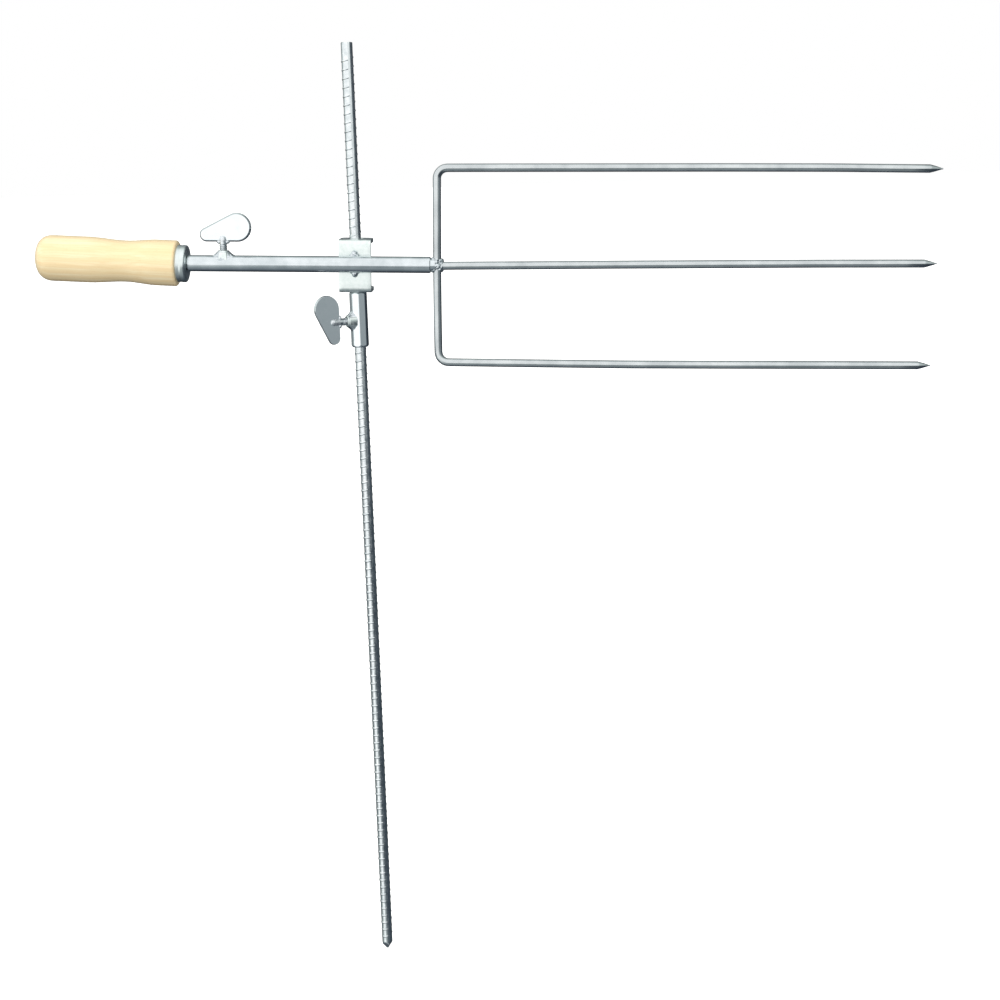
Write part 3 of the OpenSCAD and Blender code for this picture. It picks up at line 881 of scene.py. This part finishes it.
def blobWeld(name, blobs, voxel, material, place, lump, seed):
    # overlapping drops of metal melted into one skin
    verts, faces = [], []
    for centre, radii in blobs:
        addBall(verts, faces, lambda spot: tuple(Vector(centre) + spot * Vector(radii)))
    piece = newPiece(name, verts, faces, place, material)
    skin = piece.modifiers.new("skin", "REMESH")
    skin.mode = "VOXEL"
    skin.voxel_size = voxel * mm
    calm = piece.modifiers.new("calm", "SMOOTH")
    calm.factor = 0.5
    calm.iterations = 9
    settle(piece)
    roughen(piece, lump, 1.1, seed)
    piece.data.materials.clear()
    piece.data.materials.append(material)
    piece.data.shade_smooth()
    return piece


# each tack is three drops on the plate's edge and a smaller one at each end
tacks = {"height": 7.3, "back": 5.15, "drop": (2.604, 2.7, 2.7), "endBack": 4.75, "endDrop": (1.9, 2.3, 2.0)}
for name, side, node in (("tubeTackUpper", 1, "tube_tack_upper"), ("tubeTackLower", -1, "tube_tack_lower")):
    blobs = [((0.3 * k * side, tacks["back"], side * (tacks["height"] - 0.9 * abs(k) + 0.5)), tacks["drop"])
             for k in (-1, 0, 1)]
    blobs += [((2.3 * k, tacks["endBack"], side * (tacks["height"] - 1.4)), tacks["endDrop"])
              for k in (-1, 1)]
    deliver(blobWeld(name, blobs, 0.3, platedWeld, tubePlace, 0.25, side + 4), "bracket", "weld", node)
print("bracket and tube done")


# ---- fork ----

fork = {"radius": 3.175, "crossX": 64.975, "pitch": 75.5, "reach": 386.5, "bend": 8, "point": 10,
        "tip": 0.15, "shaftRadius": 4.77,
        # small bends from welding and use: how far each prong stands off its line, from root to tip
        "upperBow": (-1.5, -0.9, -0.35, 0.2, 0.5, 0.2), "lowerBow": (-0.5, -0.85, -1.1, -0.7, -0.2, 0.2),
        "crossLean": 0.9, "centreBow": (-0.7, 0.35, 1.45, 2.4, 3.3, 3.9)}


def bowAt(bow, share):
    place = max(0, min(0.9999, share)) * (len(bow) - 1)
    i = int(place)
    t = place - i
    before = bow[max(0, i - 1)]
    after = bow[min(len(bow) - 1, i + 2)]
    a, b = bow[i], bow[i + 1]
    return a + t * (b - a) + t * (t - 1) * ((t - 1) * (before - 2 * a + b) + t * (a - 2 * b + after)) * 0.25


def prongPoints(height, bow, start):
    # from the root to the tip, closer together on the ground point
    body = fork["reach"] - fork["point"]
    reaches = [start + (body - start) * k / 24 for k in range(25)]
    shares = [1] * len(reaches)
    for k in range(1, 9):
        reaches.append(body + fork["point"] * k / 8)
        shares.append(max(fork["tip"], (1 - k / 8) ** 0.8))
    return [(fork["crossX"] + x, 0, height + bowAt(bow, x / fork["reach"])) for x in reaches], shares


half, bend, crossX, crossLean = (fork[key] for key in ("pitch", "bend", "crossX", "crossLean"))
upper, upperShares = prongPoints(half, fork["upperBow"], bend)
lower, lowerShares = prongPoints(-half, fork["lowerBow"], bend + crossLean)
corner = []
for k in range(1, 14):
    a = pi / 2 * k / 14
    corner.append((crossX + bend * (1 - sin(a)), bend * cos(a)))
line = lower[::-1]
shares = lowerShares[::-1]
lowLift, highLift = fork["lowerBow"][0], fork["upperBow"][0]
# the lower corner runs from its prong to the crossbar, the upper one the other way
for x, rise in corner:
    line.append((x + crossLean, 0, -half + lowLift + bend - rise))
tall = 2 * half - 2 * bend + highLift - lowLift
straight = [-half + bend + lowLift + tall * k / 14 for k in range(15)]
line += [(crossX + crossLean * max(0, -z / half) ** 1.5, 0, z) for z in straight]
for x, rise in reversed(corner):
    line.append((x, 0, half + highLift - bend + rise))
line += upper
shares += [1] * (2 * len(corner) + len(straight)) + upperShares
deliver(makeRod("forkBar", line, shares, fork["radius"], brightSteel, tubePlace),
        "fork", "bright_rod", "fork_bar")

points, shares = prongPoints(0, fork["centreBow"], 1)
deliver(makeRod("centreProng", points, shares, fork["radius"], brightSteel, tubePlace),
        "fork", "bright_rod", "centre_prong")

# drops of weld as (x, y, z) from the crossing: a core, a chain round it, the four corners, the front
crossWeld = {
    "voxel": 0.28, "lump": 0.25, "core": (4.2, 4.3, 4.6), "chain": 10, "chainDrop": (2.0, 3.5, 1.9),
    "corner": ((-3.4, 0, 3.9), (-3.4, 0, -3.9), (3.2, 0, 3.2), (3.2, 0, -3.4)),
    "cornerDrop": (2.1, 2.6, 2.1),
    "front": ((-0.4, -2.9, 2.2), (1.5, -2.9, -0.8), (-2.0, -2.9, -1.2)), "frontDrop": (1.7, 1.6, 1.5)}
blobs = [((0, 0, fork["centreBow"][0] * 0.5), crossWeld["core"])]
for k in range(crossWeld["chain"]):
    a = 2 * pi * k / crossWeld["chain"] + 0.3
    blobs.append(((3.6 * cos(a), 0.6 * sin(3 * a), 4.1 * sin(a)), crossWeld["chainDrop"]))
for kind in ("corner", "front"):
    blobs += [(spot, crossWeld[kind + "Drop"]) for spot in crossWeld[kind]]
blobs = [((fork["crossX"] + x, y, z), size) for (x, y, z), size in blobs]
deliver(blobWeld("crossingWeld", blobs, crossWeld["voxel"], platedWeld, tubePlace, crossWeld["lump"], 11),
        "fork", "weld", "fork_weld")


# ---- handle, ferrule and the shaft that carries them ----

grip = {"woodFront": -137.4, "butt": -247.9, "radius": 17.75, "waist": 16.0, "buttLong": 14,
        "gripEnd": 0.36, "waistAt": 0.636, "swellAt": 0.86, "ferruleFront": -130, "ferrule": 14.5,
        "neck": 13.9, "tang": 78, "turn": 2.05, "turnAt": -142, "drop": -0.05,
        "buttPower": 2.6, "edge": 1.8, "bore": 4.82, "socket": 6, "latheMark": 0.04}

# the wood was driven on a little crooked, so it points up from the tube's line
gripTurn = Matrix.Translation((grip["turnAt"], 0, grip["drop"])) @ Matrix.Rotation(
    radians(grip["turn"]), 4, "Y") @ Matrix.Translation((-grip["turnAt"], 0, 0))
gripPlace = tubePlace @ gripTurn

tangEnd = grip["woodFront"] - grip["tang"]
shaftLine = [(fork["crossX"] - 1.5, 0, 0)] + [(60 - 17 * k, 0, 0) for k in range(12)]
shaftLine += [tuple(gripTurn @ Vector((x, 0, 0))) for x in (-138, -150, -165, -180, -200, tangEnd)]
deliver(makeRod("spitShaft", shaftLine, [1] * len(shaftLine), fork["shaftRadius"], drawnZinc, tubePlace, 48),
        "fork", "zinc_plate", "spit_shaft")


def ease(t):
    return (1 - cos(pi * t)) / 2


butt, wood, full, waist, neck, buttLong, edge = (
    grip[key] for key in ("butt", "woodFront", "radius", "waist", "neck", "buttLong", "edge"))
length = wood - butt


def woodRadius(s):
    share = s / length
    if s < buttLong:
        power = grip["buttPower"]
        return full * (1 - (1 - s / buttLong) ** power) ** (1 / power)
    if grip["gripEnd"] <= share < grip["waistAt"]:
        return full + (waist - full) * ease((share - grip["gripEnd"]) / (grip["waistAt"] - grip["gripEnd"]))
    if grip["waistAt"] <= share < grip["swellAt"]:
        return waist + (full - waist) * ease((share - grip["waistAt"]) / (grip["swellAt"] - grip["waistAt"]))
    return full


outline = [(0, butt)]
for k in range(1, 19):
    s = buttLong * (1 - cos(pi / 2 * k / 18))
    outline.append((woodRadius(s), butt + s))
for k in range(1, 61):
    s = buttLong + (length - edge - buttLong) * k / 60
    outline.append((woodRadius(s) + grip["latheMark"] * sin(s * 1.7), butt + s))
for k in range(1, 7):
    a = pi / 2 * k / 6
    outline.append((full - edge * (1 - cos(a)), wood - edge * (1 - sin(a))))
bore, socket = grip["bore"], wood + grip["socket"]
outline += [(neck, wood), (neck, socket), (bore, socket), (bore, tangEnd), (0, tangEnd)]
verts, faces, ring, along = spun(outline, 96)
beech = lacqueredBeech({
    "pale": "#f8e8c0", "warm": "#f3dcab", "late": "#edcf96", "streak": "#e6c388", "fleck": "#c99c60",
    "patternShare": 0.75, "ringStep": 2.6, "ringBend": 5, "pith": (-34, 40),
    "centre": tuple(gripPlace @ Vector((-193, 0, 0))), "tilt": lean + radians(grip["turn"])})
deliver(newPiece("beechHandle", verts, faces, gripPlace @ alongX, beech, ring, along, 50),
        "fork", "beech", "handle")

# a rolled front edge, a shallow groove behind it, and a cup that holds the neck of the wood
front, outer = grip["ferruleFront"], grip["ferrule"]
ferruleOutline = softened([
    (5.1, front, 0.3), (outer - 0.2, front, 1.5), (outer, front - 3.0, 1.0),
    (outer - 0.25, front - 4.4, 0.6), (outer, wood + 0.9, 0.5), (outer, wood, 0.3),
    (neck + 0.02, wood, 0.1), (neck + 0.02, socket + 0.1, 0.4), (5.1, socket + 0.1, 0.1)], 6)
verts, faces, ring, along = spun(ferruleOutline, 96, loop=True)
deliver(newPiece("ferrule", verts, faces, gripPlace @ alongX, satinZinc, ring, along, 45),
        "fork", "zinc_plate", "ferrule")

pin = frame["nodes"]["handle_key_pin"]
for slot in pin.material_slots:
    slot.material = blackPin
print("fork and handle done")


# ---- floor, world and lights ----

floorMesh = bpy.data.meshes.new("floor")
floorMesh.from_pydata([(-20, -20, 0), (20, -20, 0), (20, 20, 0), (-20, 20, 0)], [], [(0, 1, 2, 3)])
floorPaint, tree, shader = newMaterial("mattWhiteFloor")
# plain matt white board: no sheen, so it shows only soft shadow
shader.inputs["Base Color"].default_value = fromHex("#f8f8f6")
shader.inputs["Roughness"].default_value = 0.9
shader.inputs["Specular IOR Level"].default_value = 0.1
# lit evenly from below as well, as a light table is
shader.inputs["Emission Color"].default_value = (1, 1, 1, 1)
shader.inputs["Emission Strength"].default_value = 0.5
floorMesh.materials.append(floorPaint)
floor = addObject("floor", floorMesh)
floor.visible_glossy = False
floor.visible_diffuse = False

studio = {
    "lightFrom": (-0.45, -0.72, 0.53), "lowLight": (-0.62, -0.68, -0.4), "high": 1.25, "fill": 1.05,
    "low": 0.42, "corners": "#3c444c",
    # how bright the room looks in the metal, from behind the object round to the light side
    "upper": ((-0.9, "#333a42"), (-0.65, "#43494f"), (-0.38, "#575c61"), (-0.24, "#71777a"),
              (0.03, "#8a9190"), (0.12, "#a6aeac"), (0.38, "#d3dad9"), (0.55, "#ffffff")),
    # and below the object, from the front of the floor to the back of it
    "lower": ((-1, "#858c8f"), (-0.6, "#90979a"), (-0.1, "#6a7178"), (0.35, "#3a4148"), (0.8, "#262c33"))}

world = bpy.data.worlds.new("studio")
bpy.context.scene.world = world
world.use_nodes = True
tree = world.node_tree
tree.nodes.clear()
facing = shade(tree, "TexCoord").outputs["Generated"]
axes = shade(tree, "SeparateXYZ", {0: facing})


def roomTone(value, steps):
    ramp = shade(tree, "ValToRGB", {0: remap(tree, value, -1, 1)})
    stops = ramp.color_ramp.elements
    while len(stops) < len(steps):
        stops.new(0.5)
    for stop, (place, colour) in zip(stops, steps):
        stop.position = (place + 1) / 2
        stop.color = fromHex(colour)
    return ramp.outputs[0]


def towards(direction):
    return shade(tree, "VectorMath", {
        0: facing, 1: Vector(direction).normalized()}, operation="DOT_PRODUCT").outputs["Value"]


def smoothly(value, low, high, most=1):
    return remap(tree, value, low, high, 0, most, interpolation_type="SMOOTHSTEP")


rightward, backward, upward = axes.outputs
# the floor starts a little below eye level, lower on the light side
isFloor = smoothly(calc(tree, "MULTIPLY_ADD", rightward, -0.42, upward), -0.15, -0.31)
notLow = remap(tree, towards(studio["lowLight"]), 0.86, 0.95, 1, 0)
tone = blendColours(tree, calc(tree, "MULTIPLY", isFloor, notLow),
                    roomTone(towards(studio["lightFrom"]), studio["upper"]),
                    roomTone(backward, studio["lower"]))
# dark corners low on both sides give the bars their deep edges
eitherSide = calc(tree, "ADD", smoothly(rightward, 0.12, 0.42), smoothly(rightward, -0.78, -0.95, 0.7))
cornerShare = calc(tree, "MULTIPLY", eitherSide, smoothly(upward, -0.13, -0.22))
tone = blendColours(tree, cornerShare, tone, fromHex(studio["corners"]))
room = shade(tree, "Background", {"Color": tone, "Strength": studio["high"]})
# soft light on rough surfaces, the wood above all: full from above, weaker from below
plain = shade(tree, "Background", {
    "Color": (1, 1, 1, 1), "Strength": remap(tree, upward, -0.7, 0.25, studio["low"], studio["fill"])})
# the camera itself sees a plain white backdrop
rays = shade(tree, "LightPath")
seen = shade(tree, "MixShader", {
    0: rays.outputs["Is Glossy Ray"], 1: plain.outputs[0], 2: room.outputs[0]})
backdrop = shade(tree, "Background", {"Color": (1, 1, 1, 1), "Strength": 1})
whole = shade(tree, "MixShader", {
    0: rays.outputs["Is Camera Ray"], 1: seen.outputs[0], 2: backdrop.outputs[0]})
shade(tree, "OutputWorld", {0: whole.outputs[0]})


def softbox(name, place, target, wide, high, watts):
    lamp = bpy.data.lights.new(name, "AREA")
    lamp.shape = "RECTANGLE"
    lamp.size, lamp.size_y = wide, high
    lamp.energy = watts
    holder = addObject(name, lamp)
    holder.location = place
    holder.rotation_euler = (Vector(target) - Vector(place)).to_track_quat("-Z", "Y").to_euler()
    holder.visible_glossy = False  # the metal mirrors the room alone


middle = (0.1, 0, 0.45)
softbox("keyLight", (-1.3, -2.0, 2.1), middle, 1.6, 1.2, 28)
softbox("frontLight", (0.0, -2.6, 0.82), (-0.1, 0, 0.6), 1.4, 0.35, 9)
bpy.context.scene.view_settings.view_transform = "Standard"

print("scene done")
